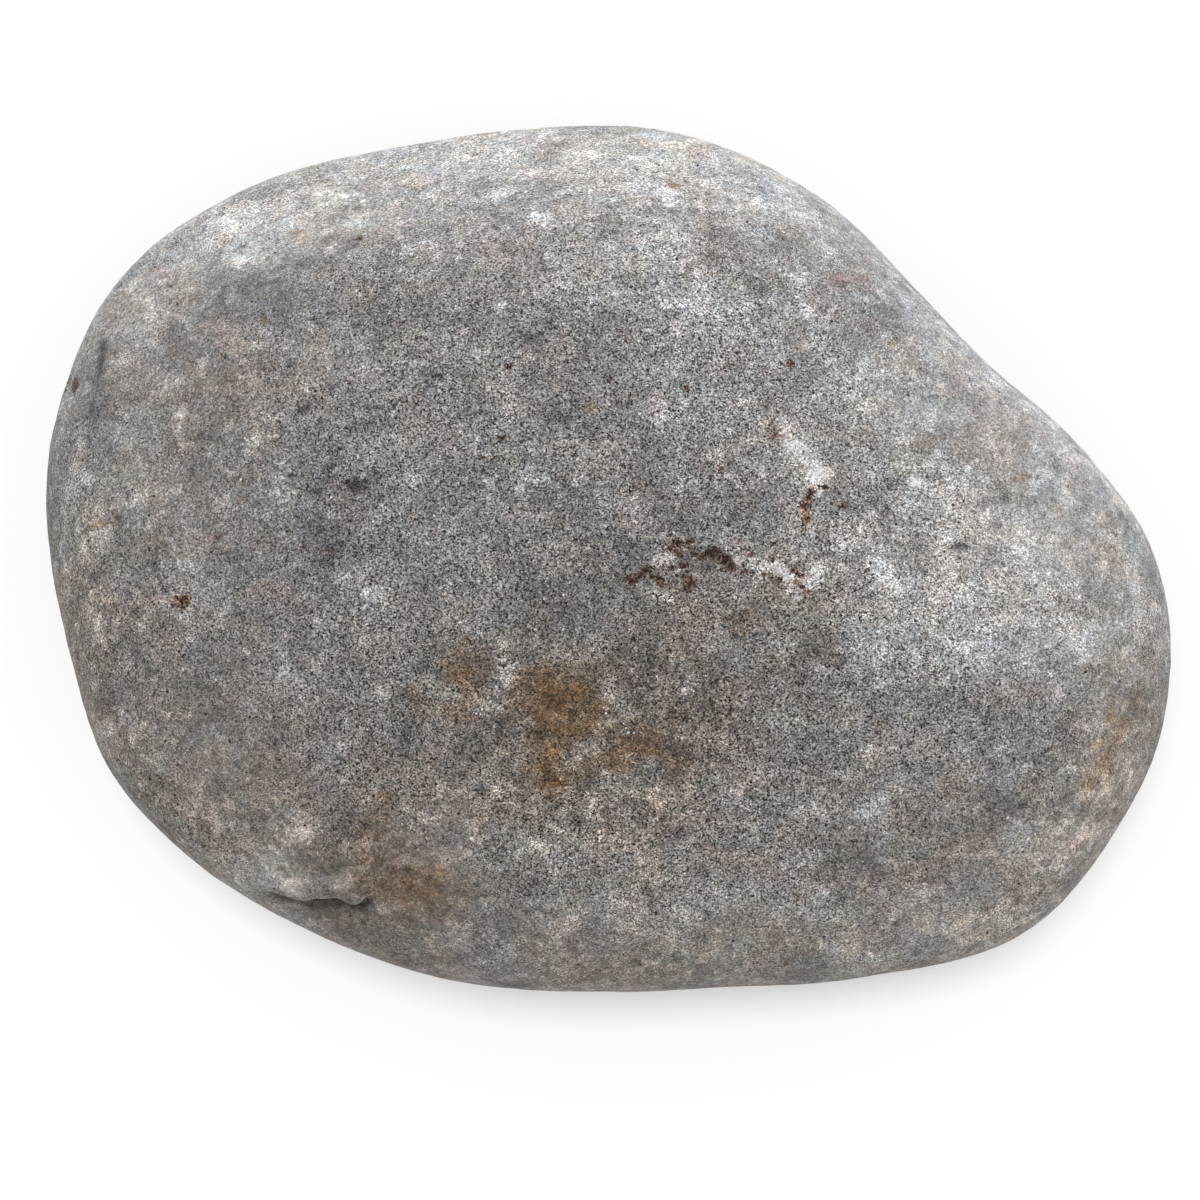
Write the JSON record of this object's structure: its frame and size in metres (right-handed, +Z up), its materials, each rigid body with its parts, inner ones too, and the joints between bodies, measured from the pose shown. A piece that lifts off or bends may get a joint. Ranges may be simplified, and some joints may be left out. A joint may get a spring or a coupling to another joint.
{
  "type": "river pebble",
  "caption": "Flattened, water-worn river stone with a broad crown, soft worn faces, a waisted outline and a chipped ledge; lies on its underside as a paperweight or garden stone",
  "frame": {"origin": "on the surface the stone rests on, under the middle of its box", "axes": "+Z up and through the stone's thickness, +X along its length, +Y across its width"},
  "size_m": [0.1, 0.0776, 0.044],
  "materials": {
    "river_stone": "dry, matt, fine-grained grey stone with a frosted, pecked surface and ochre and rust stains"
  },
  "bodies": {
    "root": {"pebble": "river_stone"}
  },
  "joints": []
}
